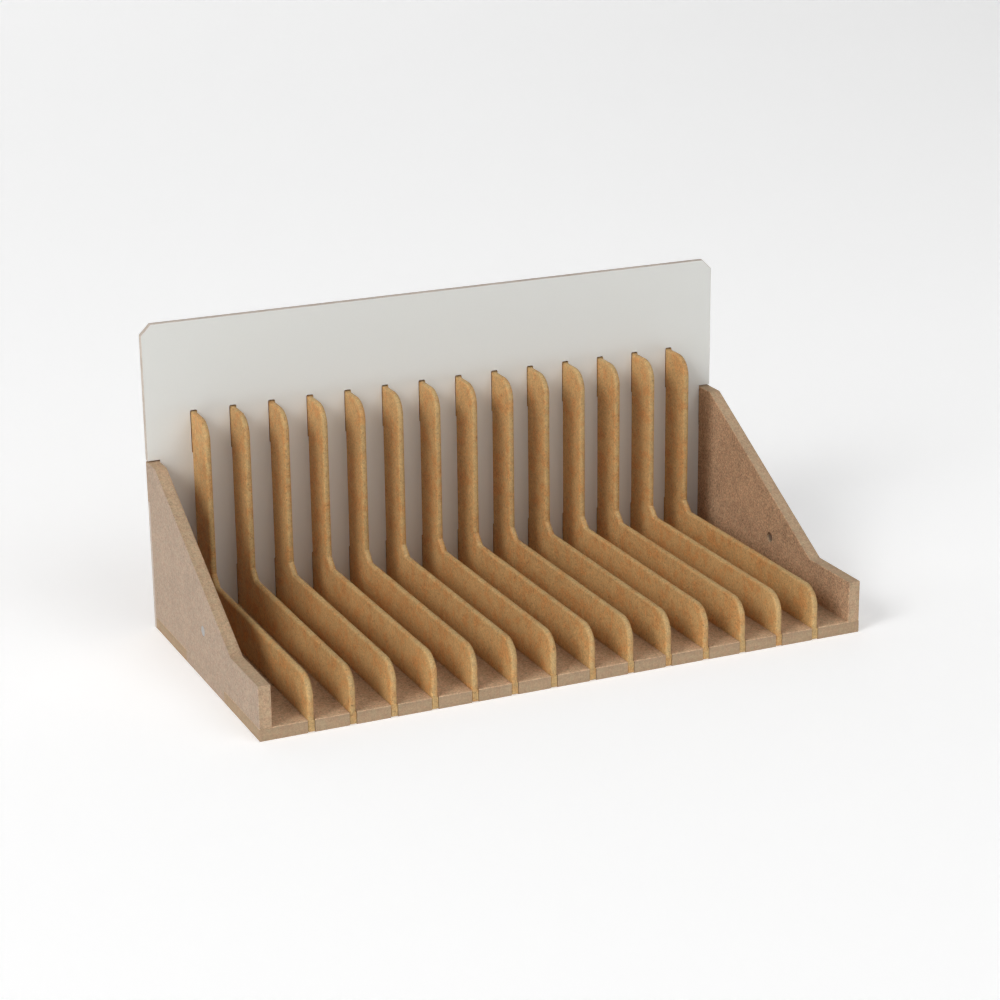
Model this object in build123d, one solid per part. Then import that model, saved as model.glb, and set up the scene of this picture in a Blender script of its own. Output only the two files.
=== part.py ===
from build123d import *
import os

# Desk rack of machined board: a base board, a lacquered back panel, two sloped
# side panels and a row of identical L-shaped dividers that stand in slots.
# Millimetres. +X runs along the rack's width, +Y from the open front to the
# back, +Z up. The origin is under the middle of the footprint.

# ---- overall -------------------------------------------------------------
width = 300.0            # over the side panels' outer faces
base_depth = 150.0       # front edge to the back panel's front face
board_t = 6.0            # MDF: base board and side panels
panel_t = 3.0            # lacquered HDF: back panel
overall_depth = base_depth + panel_t
front_y = -overall_depth / 2.0
panel_front_y = front_y + base_depth
panel_back_y = panel_front_y + panel_t

# ---- back panel ----------------------------------------------------------
panel_height = 150.0
panel_corner = 5.0       # cut top corners

# ---- side panels ---------------------------------------------------------
side_top_z = 83.4        # at the back
side_front_z = 25.8      # low front part
side_kink = 36.5         # length of the low front part
side_top_flat = 11.0     # length of the level top at the back
side_top_round = 2.2     # softened corner between the level top and the slope
side_tab = 55.0          # tab that drops through a notch in the base's end
tab_play = 0.1           # gap at each end of that tab

# ---- dividers ------------------------------------------------------------
divider_n = 14
divider_pitch = 19.4
divider_t = 3.0
upright_depth = 20.0     # front to back size of the upright leg
divider_top_z = 105.6
rail_top_z = 25.8        # top of the lying leg
divider_round = 10.0     # rounded outer corners of both legs
inner_cut = 4.7          # 45 degree cut in the inner corner
web_length = 20.0        # solid strip of the base behind the comb slots
divider_under = 0.6      # lower edge of a divider above the underside

# ---- slots and tongues ---------------------------------------------------
slot_w = 3.4             # open slots in the base
panel_slot_w = 3.5       # closed slots in the back panel
panel_slot_shift = -0.15 # the dividers stand nearer the right-hand side of those slots
tongue_h = 19.8          # each divider has two tongues through the back panel
tongue_short = 0.2       # tongues end this far inside the panel's back face
slot_play = 0.8          # gap over a tongue
slot_under = 0.25        # gap under a tongue
slot_end_round = 0.4     # small corner radius of the slot ends
slot_top_round = 0.8     # top ends of the upper slots
side_slot_play = 0.15    # notch in the panel's edge, beside a side panel's tongue

# ---- joining magnets -----------------------------------------------------
magnet_d = 5.0
magnet_l = 5.0
magnet_hole_d = 5.1
magnet_y = front_y + 75.0
magnet_z = 25.0

edge_break = 0.3         # softened edges of the 6 mm boards
thin_break = 0.25        # softened edges of the back panel
divider_edge_r = 1.4     # the dividers' exposed edges are rounded over almost to a half round
stub_edge_r = 0.3        # front edges of a divider inside its slot in the base

inner_half = width / 2.0 - board_t
mid_y = front_y + base_depth / 2.0
tab_y = (mid_y - side_tab / 2.0, mid_y + side_tab / 2.0)
lower_tongue = (board_t, board_t + tongue_h)
upper_tongue = (divider_top_z - tongue_h, divider_top_z)
side_tongue = (side_top_z - tongue_h, side_top_z)


def yz_plate(points, x0, thickness):
    """Plate with its outline in the YZ plane, from x0 towards +X."""
    wire = Polyline(*[(x0, y, z) for y, z in points], close=True)
    return extrude(make_face(wire), amount=thickness, dir=(1, 0, 0))


def box_between(x0, x1, y0, y1, z0, z1):
    return Pos((x0 + x1) / 2, (y0 + y1) / 2, (z0 + z1) / 2) * Box(x1 - x0, y1 - y0, z1 - z0)


def edges_on_x(solid, x, tol=1e-4):
    """Edges that lie wholly in the plane of that x."""
    found = []
    for e in solid.edges():
        b = e.bounding_box()
        if abs(b.min.X - x) < tol and abs(b.max.X - x) < tol:
            found.append(e)
    return found


def divider_centres():
    return [(i - (divider_n - 1) / 2.0) * divider_pitch for i in range(divider_n)]


# ---- base board: a comb of open slots along the front --------------------
def make_base():
    b = box_between(-width / 2, width / 2, front_y, panel_front_y, 0, board_t)
    # soften the outer edges of the footprint on both faces
    rim = [e for e in b.edges()
           if abs(e.center().Z) < 1e-6 or abs(e.center().Z - board_t) < 1e-6]
    rim = [e for e in rim if e.center().Y < panel_front_y - 1e-6]
    b = chamfer(rim, edge_break)
    for x in divider_centres():
        slot = box_between(x - slot_w / 2, x + slot_w / 2, front_y - 5,
                           panel_front_y - web_length, -5, board_t + 5)
        inner = [e for e in slot.edges()
                 if abs(e.center().Y - (panel_front_y - web_length)) < 1e-6
                 and abs(e.tangent_at(0.5).Z) > 0.99]
        slot = fillet(inner, slot_end_round)
        b -= slot
    for sign in (-1, 1):                 # notches for the side panels' tabs
        x0, x1 = sorted((sign * inner_half, sign * (width / 2 + 5)))
        b -= box_between(x0, x1, tab_y[0] - tab_play, tab_y[1] + tab_play, -5, board_t + 5)
    return b


# ---- back panel: two rows of short slots ---------------------------------
def make_back_panel():
    w = width / 2
    c = panel_corner
    pts = [(-w, 0), (w, 0), (w, panel_height - c), (w - c, panel_height),
           (-w + c, panel_height), (-w, panel_height - c)]
    wire = Polyline(*[(x, panel_front_y, z) for x, z in pts], close=True)
    p = extrude(make_face(wire), amount=panel_t, dir=(0, 1, 0))
    rim = []
    for e in p.edges():
        b = e.bounding_box()
        if b.max.Y - b.min.Y < 1e-4 and b.max.Z > 0.01:
            rim.append(e)
    p = chamfer(rim, thin_break)
    for x in divider_centres():
        xs = x + panel_slot_shift
        for lo, hi in (lower_tongue, upper_tongue):
            s = box_between(xs - panel_slot_w / 2, xs + panel_slot_w / 2, panel_front_y - 3,
                            panel_back_y + 3, lo - slot_under, hi + slot_play)
            ends = [e for e in s.edges() if abs(e.tangent_at(0.5).Y) > 0.99]
            top = [e for e in ends if e.center().Z > divider_top_z]
            s = fillet([e for e in ends if e not in top], slot_end_round)
            if top:
                top = [e for e in s.edges() if abs(e.tangent_at(0.5).Y) > 0.99
                       and e.center().Z > divider_top_z]
                s = fillet(top, slot_top_round)
            p -= s
    for sign in (-1, 1):                 # open notches for the side panels' tongues
        x0, x1 = sorted((sign * (inner_half - side_slot_play), sign * (width / 2 + 5)))
        p -= box_between(x0, x1, panel_front_y - 3, panel_back_y + 3,
                         side_tongue[0] - slot_under, side_tongue[1] + slot_play)
    return p


# ---- side panels ---------------------------------------------------------
def make_side(sign):
    y0, y1 = front_y, panel_front_y
    pts = [(y0, board_t), (y0, side_front_z), (y0 + side_kink, side_front_z),
           (y1 - side_top_flat, side_top_z), (y1, side_top_z), (y1, board_t),
           (tab_y[1], board_t), (tab_y[1], 0), (tab_y[0], 0), (tab_y[0], board_t)]
    x_outer = sign * width / 2
    x_inner = sign * inner_half
    x0 = min(x_outer, x_inner)
    s = yz_plate(pts, x0, board_t)
    corner = [e for e in s.edges()
              if abs(e.center().Y - (y1 - side_top_flat)) < 1e-4
              and abs(e.center().Z - side_top_z) < 1e-4]
    s = fillet(corner, side_top_round)
    rim = []
    for x in (x_outer, x_inner):
        for e in edges_on_x(s, x):
            c = e.center()
            on_seat = 1e-4 < c.Z < board_t + 1e-4
            on_back = abs(c.Y - y1) < 1e-4
            in_notch = c.Z < 1e-4 and x == x_inner
            if not on_seat and not on_back and not in_notch:
                rim.append(e)
    s = chamfer(rim, edge_break)
    # a tongue at the top of the back edge, level with the panel's side
    s += box_between(*sorted((x_outer, x_inner)), y1, panel_back_y - tongue_short, *side_tongue)
    hole = Pos((x_outer + x_inner) / 2, magnet_y, magnet_z) * Rot(0, 90, 0) * \
        Cylinder(magnet_hole_d / 2, board_t + 4)
    return s - hole


# ---- dividers ------------------------------------------------------------
def make_divider(x):
    y0 = front_y                         # rounded nose, flush with the base
    yp = panel_front_y
    yu = yp - upright_depth              # front edge of the upright leg
    yt = panel_back_y - tongue_short     # end of the tongues
    yw = yp - web_length - 0.3           # step that clears the end of the comb slot
    pts = [
        (y0, divider_under), (y0, rail_top_z), (yu - inner_cut, rail_top_z),
        (yu, rail_top_z + inner_cut), (yu, divider_top_z),
        (yp, divider_top_z), (yp, board_t),
        (yw, board_t), (yw, divider_under),
    ]
    d = yz_plate(pts, x - divider_t / 2, divider_t)
    corners = []
    for e in d.edges():
        c = e.center()
        if abs(e.tangent_at(0.5).X) < 0.99:
            continue
        nose = abs(c.Y - y0) < 1e-4 and abs(c.Z - rail_top_z) < 1e-4
        crown = abs(c.Y - yu) < 1e-4 and abs(c.Z - divider_top_z) < 1e-4
        if nose or crown:
            corners.append(e)
    d = fillet(corners, divider_round)
    rim = []
    for xf in (x - divider_t / 2, x + divider_t / 2):
        for e in edges_on_x(d, xf):
            c = e.center()
            b = e.bounding_box()
            exposed_front = b.max.Y < yu + 1e-4 and c.Z > divider_under + 1.0
            crown = b.max.Z > divider_top_z - divider_round - 1e-3 and c.Y < yp - 1e-3
            if (exposed_front or crown) and abs(c.Y - yw) > 1e-3:
                rim.append(e)
    d = fillet(rim, divider_edge_r)
    # two tongues that pass through the back panel
    for lo, hi in (lower_tongue, upper_tongue):
        d += box_between(x - divider_t / 2, x + divider_t / 2, yp, yt, lo, hi)
    # inside its slot in the base the nose keeps the full thickness
    stub = box_between(x - divider_t / 2, x + divider_t / 2, y0, y0 + 3, divider_under, board_t)
    front = [e for e in stub.edges()
             if abs(e.center().Y - y0) < 1e-6 and abs(e.tangent_at(0.5).Z) > 0.99]
    return d + fillet(front, stub_edge_r)


# ---- joining magnets -----------------------------------------------------
def make_magnet(sign):
    # the outer face is level with the side panel's outer face
    xc = sign * (width / 2 - magnet_l / 2)
    m = Cylinder(magnet_d / 2, magnet_l)
    m = chamfer([e for e in m.edges() if e.geom_type == GeomType.CIRCLE], 0.2)
    return Pos(xc, magnet_y, magnet_z) * Rot(0, 90, 0) * m


def build():
    nodes = {
        "base_board": make_base(),
        "back_panel": make_back_panel(),
        "side_panel_left": make_side(-1),
        "side_panel_right": make_side(1),
        "magnet_left": make_magnet(-1),
        "magnet_right": make_magnet(1),
    }
    for i, x in enumerate(divider_centres()):
        nodes["divider_%02d" % (i + 1)] = make_divider(x)
    return nodes


def write():
    os.makedirs("parts", exist_ok=True)
    for name, shape in build().items():
        solids = shape.solids()
        assert len(solids) == 1, (name, len(solids))
        export_step(solids[0], "parts/%s.step" % name)
        print(name, round(solids[0].volume, 1), "mm3")


write()
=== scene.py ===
import bpy
import math
from mathutils import Matrix, Vector

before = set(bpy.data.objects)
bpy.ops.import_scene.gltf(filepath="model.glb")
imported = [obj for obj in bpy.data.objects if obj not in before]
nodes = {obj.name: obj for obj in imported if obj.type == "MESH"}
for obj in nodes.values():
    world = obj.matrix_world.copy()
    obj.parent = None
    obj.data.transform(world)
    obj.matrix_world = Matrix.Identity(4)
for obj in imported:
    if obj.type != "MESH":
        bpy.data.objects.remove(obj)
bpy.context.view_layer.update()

DIVIDERS = sorted(n for n in nodes if n.startswith("divider_"))
PITCH = 19.4            # mm between neighbouring dividers


# ---------------------------------------------------------------- node helper
class Net:
    """A procedural material, written as arithmetic on node sockets. Lengths are in mm."""

    def __init__(self, name):
        self.mat = bpy.data.materials.new(name)
        self.mat.use_nodes = True
        self.nt = self.mat.node_tree
        self.nt.nodes.clear()
        self.out = self.nt.nodes.new("ShaderNodeOutputMaterial")
        self.bsdf = self.nt.nodes.new("ShaderNodeBsdfPrincipled")
        self.nt.links.new(self.bsdf.outputs[0], self.out.inputs["Surface"])
        tc = self.nt.nodes.new("ShaderNodeTexCoord")
        self.pos = self.vscale(tc.outputs["Object"], 1000.0)
        self.normal = tc.outputs["Normal"]

    def put(self, sock, v):
        if isinstance(v, bpy.types.NodeSocket):
            self.nt.links.new(v, sock)
        elif isinstance(v, (int, float)):
            try:
                sock.default_value = v
            except TypeError:
                sock.default_value = [v] * len(sock.default_value)
        else:
            v = list(v)
            n = len(sock.default_value)
            sock.default_value = (v + [1.0])[:n] if len(v) < n else v[:n]

    def math(self, op, a, b=0.0, c=0.0, clamp=False):
        n = self.nt.nodes.new("ShaderNodeMath")
        n.operation = op
        n.use_clamp = clamp
        for s, v in zip(n.inputs, (a, b, c)):
            self.put(s, v)
        return n.outputs[0]

    def add(self, a, b):
        return self.math("ADD", a, b)

    def sub(self, a, b):
        return self.math("SUBTRACT", a, b)

    def mul(self, a, b):
        return self.math("MULTIPLY", a, b)

    def vec(self, op, a, b=(0, 0, 0), out=0):
        n = self.nt.nodes.new("ShaderNodeVectorMath")
        n.operation = op
        self.put(n.inputs[0], a)
        self.put(n.inputs[1], b)
        return n.outputs[out]

    def vscale(self, a, k):
        n = self.nt.nodes.new("ShaderNodeVectorMath")
        n.operation = "SCALE"
        self.put(n.inputs[0], a)
        self.put(n.inputs["Scale"], k)
        return n.outputs[0]

    def xyz(self, v):
        n = self.nt.nodes.new("ShaderNodeSeparateXYZ")
        self.put(n.inputs[0], v)
        return n.outputs[0], n.outputs[1], n.outputs[2]

    def combine(self, x, y, z):
        n = self.nt.nodes.new("ShaderNodeCombineXYZ")
        for s, v in zip(n.inputs, (x, y, z)):
            self.put(s, v)
        return n.outputs[0]

    def turn(self, v, axis, deg):
        n = self.nt.nodes.new("ShaderNodeVectorRotate")
        n.rotation_type = axis + "_AXIS"
        self.put(n.inputs["Vector"], v)
        n.inputs["Angle"].default_value = math.radians(deg)
        return n.outputs[0]

    def noise(self, v, scale, detail=2.0, rough=0.5, distort=0.0, out=0):
        n = self.nt.nodes.new("ShaderNodeTexNoise")
        n.noise_dimensions = "3D"
        self.put(n.inputs["Vector"], v)
        n.inputs["Scale"].default_value = scale
        n.inputs["Detail"].default_value = detail
        n.inputs["Roughness"].default_value = rough
        n.inputs["Distortion"].default_value = distort
        return n.outputs[out]

    def voronoi(self, v, scale, out="Distance", feature="F1"):
        n = self.nt.nodes.new("ShaderNodeTexVoronoi")
        n.feature = feature
        self.put(n.inputs["Vector"], v)
        n.inputs["Scale"].default_value = scale
        return n.outputs[out]

    def white(self, w):
        n = self.nt.nodes.new("ShaderNodeTexWhiteNoise")
        n.noise_dimensions = "1D"
        self.put(n.inputs["W"], w)
        return n.outputs["Value"], n.outputs["Color"]

    def ramp(self, v, lo, hi, a=0.0, b=1.0, smooth=False):
        n = self.nt.nodes.new("ShaderNodeMapRange")
        n.interpolation_type = "SMOOTHSTEP" if smooth else "LINEAR"
        n.clamp = True
        self.put(n.inputs[0], v)
        for i, k in enumerate((lo, hi, a, b)):
            self.put(n.inputs[i + 1], k)
        return n.outputs[0]

    def mix(self, f, a, b, mode="MIX"):
        n = self.nt.nodes.new("ShaderNodeMix")
        n.data_type = "RGBA"
        n.blend_type = mode
        n.clamp_factor = True
        self.put(n.inputs[0], f)
        self.put(n.inputs[6], a)
        self.put(n.inputs[7], b)
        return n.outputs[2]

    def shade(self, col, k):
        """col times a grey factor."""
        return self.vscale(col, k)

    def bump(self, height, dist_mm, strength=1.0, under=None):
        n = self.nt.nodes.new("ShaderNodeBump")
        self.put(n.inputs["Height"], height)
        n.inputs["Strength"].default_value = strength
        n.inputs["Distance"].default_value = dist_mm * 0.001
        if under is not None:
            self.put(n.inputs["Normal"], under)
        return n.outputs[0]

    def fibres(self, p, scale, length, width, flat=None, flatness=0.3):
        """Short straight fibres, one in each cell of a random lattice, each with its own direction.
        flat is the axis of the board's thickness: fibres lie mostly across it."""
        n = self.nt.nodes.new("ShaderNodeTexVoronoi")
        n.feature = "F1"
        self.put(n.inputs["Vector"], p)
        n.inputs["Scale"].default_value = scale
        d = self.vec("SUBTRACT", p, n.outputs["Position"])
        u = self.vec("SUBTRACT", n.outputs["Color"], (0.5, 0.5, 0.5))
        if flat is not None:
            k = [1.0, 1.0, 1.0]
            k[flat] = flatness
            u = self.vec("MULTIPLY", u, k)
        u = self.vec("NORMALIZE", u)
        dot = self.nt.nodes.new("ShaderNodeVectorMath")
        dot.operation = "DOT_PRODUCT"
        self.put(dot.inputs[0], d)
        self.put(dot.inputs[1], u)
        t = dot.outputs["Value"]
        across = self.vec("LENGTH", self.vec("SUBTRACT", d, self.vscale(u, t)), out=1)
        m = self.ramp(across, width * 0.5, width * 0.2)
        return self.mul(m, self.ramp(self.math("ABSOLUTE", t), length * 0.5, length * 0.32))

    def finish(self, color, rough, normal, spec=0.3):
        self.put(self.bsdf.inputs["Base Color"], color)
        self.put(self.bsdf.inputs["Roughness"], rough)
        self.put(self.bsdf.inputs["Normal"], normal)
        self.bsdf.inputs["Specular IOR Level"].default_value = spec
        return self.mat


# ---------------------------------------------------------------- raw MDF
def mdf_material(name, thickness_axis, face, inner, edge, seed, inner_side, grain=1.0):
    """Raw MDF board. Faces are pressed and sanded; cut edges are more open and yellower.
    inner_side is the sign of the normal on the face that looks into the rack."""
    m = Net(name)
    p = m.vec("ADD", m.pos, (seed, seed * 0.37, seed * -0.71))
    n3 = m.xyz(m.normal)
    n_t = m.math("ABSOLUTE", n3[thickness_axis])
    is_edge = m.ramp(n_t, 0.55, 0.25)                # cut edges
    is_rim = m.mul(m.ramp(n_t, 0.97, 0.85), m.ramp(n_t, 0.25, 0.5))

    cloud = m.noise(p, 0.045, 2.0, 0.55)
    blot = m.noise(p, 0.20, 2.0, 0.6)
    patch = m.noise(m.vec("ADD", p, (17.0, 5.0, -9.0)), 0.42, 2.0, 0.6)
    grit = m.noise(p, 0.95, 2.0, 0.7)
    dust = m.noise(p, 2.6, 1.0, 0.6)
    dark = m.fibres(p, 0.62, 2.6, 0.55, thickness_axis)
    light = m.fibres(m.vec("ADD", p, (7.3, -3.1, 12.9)), 0.70, 2.2, 0.50, thickness_axis)
    fine = m.fibres(m.vec("ADD", p, (-4.7, 9.2, 3.3)), 1.5, 1.3, 0.26, thickness_axis)

    # painted tone on the faces that look into the rack: the inner side faces get a redder brown standing
    # in for their warm shade, the base top a lighter brown standing in for light from above; these faces
    # also show a stronger speckle
    painted_tone_mask = m.ramp(m.mul(n3[thickness_axis], float(inner_side)), 0.2, 0.6)
    base = m.mix(painted_tone_mask, face, inner)
    k = m.mul(m.add(0.85, m.mul(painted_tone_mask, 0.80)), grain)
    col = m.mix(is_edge, base, edge)
    hue = m.mix(m.ramp(patch, 0.34, 0.66), (1.035, 0.975, 0.955), (0.975, 1.015, 1.0))
    col = m.vec("MULTIPLY", col, hue)
    spread = m.mul(m.sub(cloud, 0.5), 0.20)
    spread = m.add(spread, m.mul(m.sub(blot, 0.5), 0.30))
    spread = m.add(spread, m.mul(m.sub(patch, 0.5), 0.20))
    spread = m.add(spread, m.mul(m.sub(grit, 0.5), 1.00))
    spread = m.add(spread, m.mul(m.sub(dust, 0.5), 0.60))
    spread = m.sub(spread, m.mul(dark, 0.20))
    spread = m.add(spread, m.mul(light, 0.17))
    spread = m.sub(spread, m.mul(fine, 0.18))
    tone = m.add(1.0, m.mul(spread, k))
    # the core of a cut edge is a little paler than its skins
    lo, hi = ((144.0, 150.0) if thickness_axis == 0 else (0.0, 6.0))
    px, py, pz = m.xyz(m.pos)
    t = m.math("ABSOLUTE", px) if thickness_axis == 0 else pz
    core = m.sub(1.0, m.math("ABSOLUTE", m.ramp(t, lo, hi, -1.0, 1.0)))
    tone = m.add(tone, m.mul(m.mul(is_edge, m.sub(core, 0.5)), 0.10))
    # marks of the cutter, straight across the thickness
    stretch = (0.12, 1.5, 1.5) if thickness_axis == 0 else (1.5, 1.5, 0.12)
    marks = m.noise(m.vec("MULTIPLY", p, stretch), 1.0, 2.0, 0.6)
    tone = m.add(tone, m.mul(m.mul(is_edge, m.sub(marks, 0.5)), 0.16))
    tone = m.add(tone, m.mul(is_rim, 0.07))
    col = m.shade(col, tone)
    rough = m.ramp(m.add(m.mul(grit, 0.7), m.mul(blot, 0.3)), 0.3, 0.7, 0.64, 0.84)
    rough = m.add(rough, m.mul(is_edge, 0.08))
    h = m.add(m.add(m.mul(grit, 0.6), m.mul(dust, 0.35)), m.mul(m.sub(light, m.add(dark, fine)), 0.22))
    h = m.add(h, m.mul(m.mul(is_edge, marks), 0.8))
    nrm = m.bump(h, 0.06, 0.6)
    return m.finish(col, rough, nrm, 0.22)


# ---------------------------------------------------------------- brown HDF
def hdf_material(name, face, edge):
    """Raw hardboard of the dividers. Every divider is cut from another place in the sheet."""
    m = Net(name)
    px, py, pz = m.xyz(m.pos)
    which = m.math("FLOOR", m.math("DIVIDE", m.add(px, 10.0 * PITCH), PITCH))
    r, rc = m.white(which)
    p = m.vec("ADD", m.pos, m.vscale(rc, 40.0))
    nx, ny, nz = m.xyz(m.normal)
    a = m.math("ABSOLUTE", nx)
    is_edge = m.ramp(a, 0.94, 0.55)

    cloud = m.noise(p, 0.035, 2.0, 0.5)
    blot = m.noise(p, 0.13, 2.0, 0.62)
    patch = m.noise(m.vec("ADD", p, (31.0, -8.0, 4.0)), 0.24, 2.0, 0.6)
    grit = m.noise(p, 0.85, 2.0, 0.65)
    dust = m.noise(p, 2.5, 1.0, 0.5)
    dark = m.fibres(p, 0.55, 2.8, 0.5, 0)
    light = m.fibres(m.vec("ADD", p, (5.1, 13.0, -2.2)), 0.62, 2.4, 0.45, 0)
    speck = m.ramp(m.voronoi(p, 0.38), 0.20, 0.10)
    red = m.ramp(m.add(m.mul(blot, 0.55), m.mul(patch, 0.45)), 0.53, 0.40)
    col = m.mix(is_edge, face, edge)
    hue = m.mix(red, (0.98, 1.025, 1.03), (1.05, 0.91, 0.79))
    col = m.vec("MULTIPLY", col, hue)
    tone = m.add(0.965, m.mul(r, 0.07))
    tone = m.add(tone, m.mul(m.sub(cloud, 0.5), 0.20))
    tone = m.add(tone, m.mul(m.sub(blot, 0.5), 0.20))
    tone = m.add(tone, m.mul(m.sub(patch, 0.5), 0.16))
    tone = m.add(tone, m.mul(m.sub(grit, 0.5), 0.95))
    tone = m.add(tone, m.mul(m.sub(dust, 0.5), 0.85))
    tone = m.sub(tone, m.mul(dark, 0.20))
    tone = m.add(tone, m.mul(light, 0.18))
    tone = m.sub(tone, m.mul(speck, 0.26))
    col = m.shade(col, tone)
    rough = m.ramp(m.add(m.mul(grit, 0.6), m.mul(blot, 0.4)), 0.3, 0.7, 0.50, 0.68)
    rough = m.add(rough, m.mul(is_edge, 0.06))
    h = m.add(m.add(m.mul(grit, 0.5), m.mul(dust, 0.3)), m.mul(m.sub(light, dark), 0.18))
    h = m.sub(h, m.mul(speck, 0.3))
    nrm = m.bump(h, 0.04, 0.5)
    return m.finish(col, rough, nrm, 0.28)


# ---------------------------------------------------------------- lacquered back panel
def panel_material(name, white, brown):
    """White satin lacquer on the front. The outer cut edges carry a thin greyish overspray of it;
    the slot walls and the back are bare hardboard."""
    m = Net(name)
    p = m.pos
    nx, ny, nz = m.xyz(m.normal)
    front = m.ramp(ny, -0.93, -0.99)
    back = m.ramp(ny, 0.93, 0.99)
    cut = m.sub(1.0, m.math("MAXIMUM", front, back))
    cloud = m.noise(p, 0.02, 2.0, 0.5)
    peel = m.noise(p, 0.7, 2.0, 0.5)
    fine = m.noise(p, 3.0, 1.0, 0.5)
    blot = m.noise(p, 0.18, 2.0, 0.6)
    grit = m.noise(p, 0.95, 2.0, 0.65)
    dark = m.fibres(p, 0.60, 2.6, 0.5, 1)
    # bare board
    hue = m.mix(m.ramp(blot, 0.36, 0.62), (1.04, 0.93, 0.85), (0.98, 1.03, 1.05))
    px, py, pz = m.xyz(p)
    outer = m.math("MAXIMUM", m.ramp(m.math("ABSOLUTE", px), 149.2, 149.6), m.ramp(pz, 120.0, 121.0))
    outer = m.mul(cut, m.mul(outer, m.ramp(blot, 0.2, 0.5, 0.8, 1.0)))
    board = m.vec("MULTIPLY", m.mix(cut, brown, (brown[0] * 0.86, brown[1] * 0.80, brown[2] * 0.74)), hue)
    board = m.mix(outer, board, EDGE_SPRAY)
    tone = m.add(1.0, m.mul(m.sub(cloud, 0.5), 0.20))
    tone = m.add(tone, m.mul(m.sub(blot, 0.5), 0.22))
    tone = m.add(tone, m.mul(m.sub(grit, 0.5), 0.50))
    tone = m.sub(tone, m.mul(dark, 0.14))
    board = m.shade(board, tone)
    # lacquer
    wt = m.add(1.0, m.mul(m.sub(cloud, 0.5), 0.022))
    wt = m.add(wt, m.mul(m.sub(fine, 0.5), 0.03))
    wcol = m.mix(m.ramp(cloud, 0.3, 0.7), white, (white[0] * 0.992, white[1] * 0.992, white[2] * 0.984))
    wcol = m.shade(wcol, wt)
    col = m.mix(front, board, wcol)
    r_white = m.ramp(peel, 0.3, 0.7, 0.36, 0.44)
    r_board = m.ramp(grit, 0.3, 0.7, 0.60, 0.80)
    rough = m.add(m.mul(front, r_white), m.mul(m.sub(1.0, front), r_board))
    h = m.add(m.mul(front, m.add(m.mul(peel, 0.35), m.mul(fine, 0.10))),
              m.mul(m.sub(1.0, front), m.add(grit, m.mul(dark, -0.4))))
    nrm = m.bump(h, 0.03, 0.4)
    return m.finish(col, rough, nrm, 0.4)


# ---------------------------------------------------------------- nickel
def nickel_material(name):
    m = Net(name)
    p = m.pos
    px, py, pz = m.xyz(p)
    blot = m.noise(p, 0.9, 3.0, 0.6)
    grit = m.noise(p, 6.0, 2.0, 0.6)
    scr = m.noise(m.vec("MULTIPLY", m.turn(p, "X", 33), (1.0, 0.7, 14.0)), 1.0, 1.0, 0.5)
    scr = m.ramp(scr, 0.62, 0.70)
    col = m.mix(m.ramp(blot, 0.3, 0.7), (0.40, 0.385, 0.375), (0.50, 0.49, 0.475))
    col = m.shade(col, m.add(0.95, m.mul(grit, 0.1)))
    m.bsdf.inputs["Metallic"].default_value = 1.0
    rough = m.add(m.ramp(blot, 0.3, 0.7, 0.36, 0.50), m.mul(scr, 0.15))
    nrm = m.bump(m.sub(m.mul(grit, 0.4), m.mul(scr, 0.6)), 0.01, 0.5)
    return m.finish(col, rough, nrm, 0.5)


MDF_FACE = (0.441, 0.330, 0.247)
# the next two are painted tones of the same MDF: a redder brown standing in for shade on the inner side
# faces, a lighter brown standing in for top light on the base top
MDF_INNER_PAINTED_SHADE = (0.500, 0.321, 0.197)
MDF_TOP_PAINTED_LIGHT = (0.565, 0.387, 0.246)
MDF_EDGE = (0.488, 0.346, 0.224)
BASE_EDGE = (0.412, 0.294, 0.189)
HDF_FACE = (0.608, 0.360, 0.149)
HDF_EDGE = (0.516, 0.328, 0.145)
WHITE = (0.778, 0.788, 0.760)
HDF_RAW = (0.42, 0.25, 0.12)
EDGE_SPRAY = (0.56, 0.48, 0.42)

mats = {
    "base_board": mdf_material("mdf_base", 2, MDF_FACE, MDF_TOP_PAINTED_LIGHT, BASE_EDGE, 5.0, 1, 0.7),
    "side_panel_left": mdf_material("mdf_side_left", 0, MDF_FACE, MDF_INNER_PAINTED_SHADE, MDF_EDGE, 57.0, 1),
    "side_panel_right": mdf_material("mdf_side_right", 0, MDF_FACE, MDF_INNER_PAINTED_SHADE, MDF_EDGE, 113.0, -1),
    "back_panel": panel_material("lacquered_hdf", WHITE, HDF_RAW),
}
nickel = nickel_material("nickel_plate")
hdf = hdf_material("brown_hdf_divider", HDF_FACE, HDF_EDGE)
for n in DIVIDERS:
    mats[n] = hdf
for n in nodes:
    if n.startswith("magnet"):
        mats[n] = nickel
for n, o in nodes.items():
    o.data.materials.clear()
    o.data.materials.append(mats[n])

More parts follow.
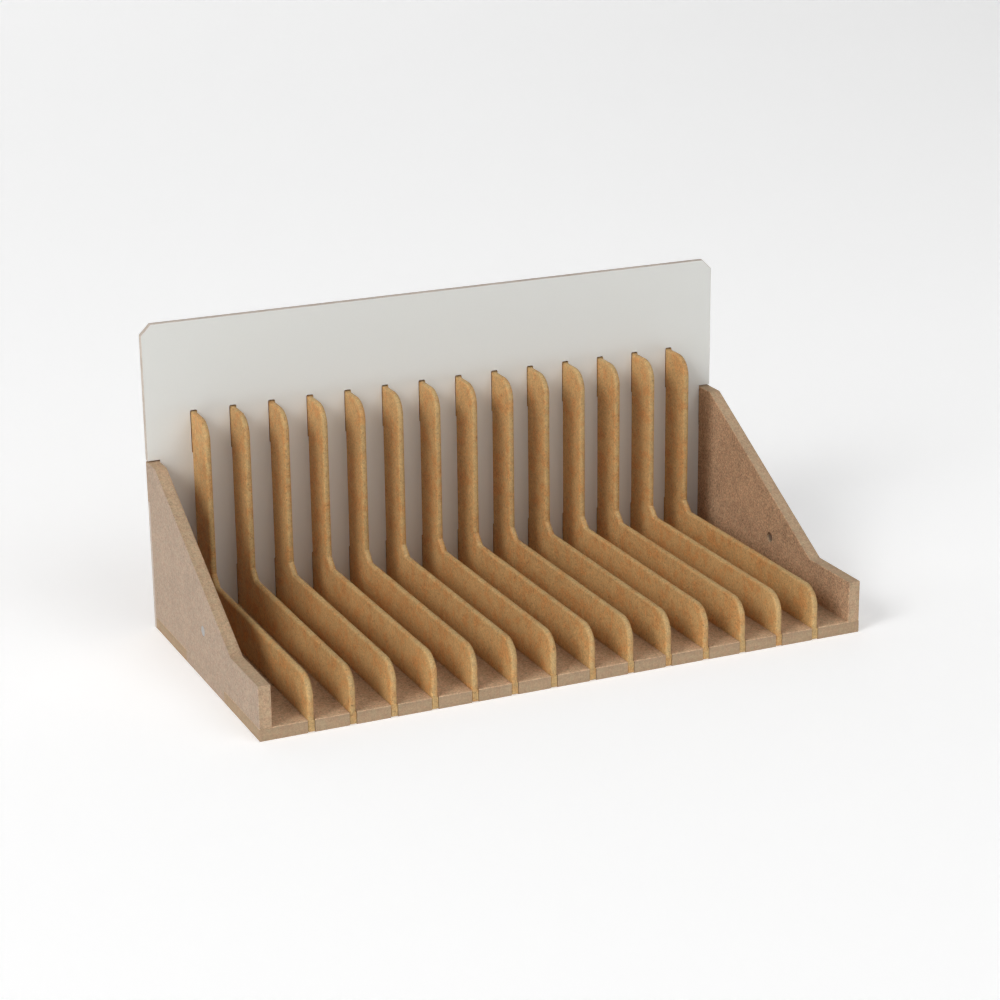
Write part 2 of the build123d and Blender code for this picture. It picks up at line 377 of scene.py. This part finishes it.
# ---------------------------------------------------------------- floor and backdrop
def sweep():
    """Floor that turns up into a backdrop far behind the rack."""
    prof = []
    y_front, y_turn, r, top = -2.2, 1.5, 0.9, 3.0
    prof.append((y_front, 0.0))
    prof.append((y_turn, 0.0))
    for i in range(1, 17):
        a = math.pi / 2 * i / 16
        prof.append((y_turn + r * math.sin(a), r - r * math.cos(a)))
    prof.append((y_turn + r, top))
    xs = (-2.6, 2.6)
    verts = [(x, y, z) for x in xs for y, z in prof]
    k = len(prof)
    faces = [(i, i + k, i + k + 1, i + 1) for i in range(k - 1)]
    me = bpy.data.meshes.new("studio_sweep")
    me.from_pydata(verts, [], faces)
    me.shade_smooth()
    o = bpy.data.objects.new("studio_sweep", me)
    bpy.context.scene.collection.objects.link(o)
    m = Net("studio_paper")
    c = m.noise(m.pos, 0.004, 2.0, 0.5)
    col = m.mix(c, (0.86, 0.86, 0.86), (0.875, 0.875, 0.875))
    m.finish(col, m.ramp(c, 0.3, 0.7, 0.85, 0.9), m.bump(m.noise(m.pos, 0.5, 2.0), 0.02, 0.2), 0.15)
    m.bsdf.inputs["Emission Color"].default_value = (1.0, 1.0, 1.0, 1.0)
    # a light table, a little weaker far behind the rack
    far = m.vec("LENGTH", m.vec("MULTIPLY", m.pos, (1.0, 1.0, 0.0)), out=1)
    m.put(m.bsdf.inputs["Emission Strength"], m.ramp(far, 350.0, 2300.0, 0.325, 0.285))
    me.materials.append(m.mat)
    return o


sweep()

# ---------------------------------------------------------------- light
scene = bpy.context.scene
world = bpy.data.worlds.new("studio_world")
world.use_nodes = True
bg = world.node_tree.nodes["Background"]
bg.inputs["Color"].default_value = (1.0, 1.0, 1.0, 1.0)
bg.inputs["Strength"].default_value = 0.040
scene.world = world

aim = Vector((0.0, 0.0, 0.045))


FAR = 4.5               # metres from the rack to every lamp


def softbox(name, az, el, spread, power):
    """Round area light at that azimuth and elevation; azimuth 0 is straight in front, positive to
    the right. spread is its diameter over its distance; power is for a lamp one metre away."""
    a, e = math.radians(az), math.radians(el)
    d = Vector((math.sin(a) * math.cos(e), -math.cos(a) * math.cos(e), math.sin(e)))
    li = bpy.data.lights.new(name, "AREA")
    li.shape = "DISK"
    li.size = spread * FAR
    li.energy = power * FAR * FAR
    o = bpy.data.objects.new(name, li)
    o.location = aim + d * FAR
    o.rotation_euler = d.to_track_quat("Z", "Y").to_euler()
    scene.collection.objects.link(o)
    return o


# a soft key from the left, slightly in front, and broad weak light from the front and top
softbox("key_core", -67, 37, 0.333, 2.000)
softbox("key_halo", -67, 37, 0.556, 1.050)
softbox("key_low", -67, 28, 0.556, 2.253)
softbox("front_left", -40, 15, 0.667, 0.960)
softbox("front_mid", -10, 15, 0.667, 0.401)
softbox("front_right", 20, 15, 0.667, 0.401)
softbox("front_right_high", 20, 45, 0.667, 1.900)
softbox("right_high", 50, 45, 0.667, 0.926)
softbox("top", 0, 85, 0.667, 0.710)

# ---------------------------------------------------------------- camera
AZ, EL, ROLL, DIST = -24.0088, 18.413, -0.6519, 1.2165634
TARGET = Vector((-0.0021569, -0.0015, 0.0658561))
a, e, r = (math.radians(v) for v in (AZ, EL, ROLL))
back = Vector((math.sin(a) * math.cos(e), -math.cos(a) * math.cos(e), math.sin(e)))
right = (-back).cross(Vector((0, 0, 1))).normalized()
up = right.cross(-back)
R = right * math.cos(r) + up * math.sin(r)
U = up * math.cos(r) - right * math.sin(r)
cam_data = bpy.data.cameras.new("camera")
cam_data.sensor_width = 36.0
cam_data.lens = 93.308
cam_data.clip_start = 0.05
cam_data.clip_end = 20.0
cam = bpy.data.objects.new("camera", cam_data)
scene.collection.objects.link(cam)
pos = TARGET + back * DIST
cam.matrix_world = Matrix(((R.x, U.x, back.x, pos.x),
                           (R.y, U.y, back.y, pos.y),
                           (R.z, U.z, back.z, pos.z),
                           (0, 0, 0, 1)))
scene.camera = cam
scene.view_settings.view_transform = "Standard"
scene.view_settings.look = "None"
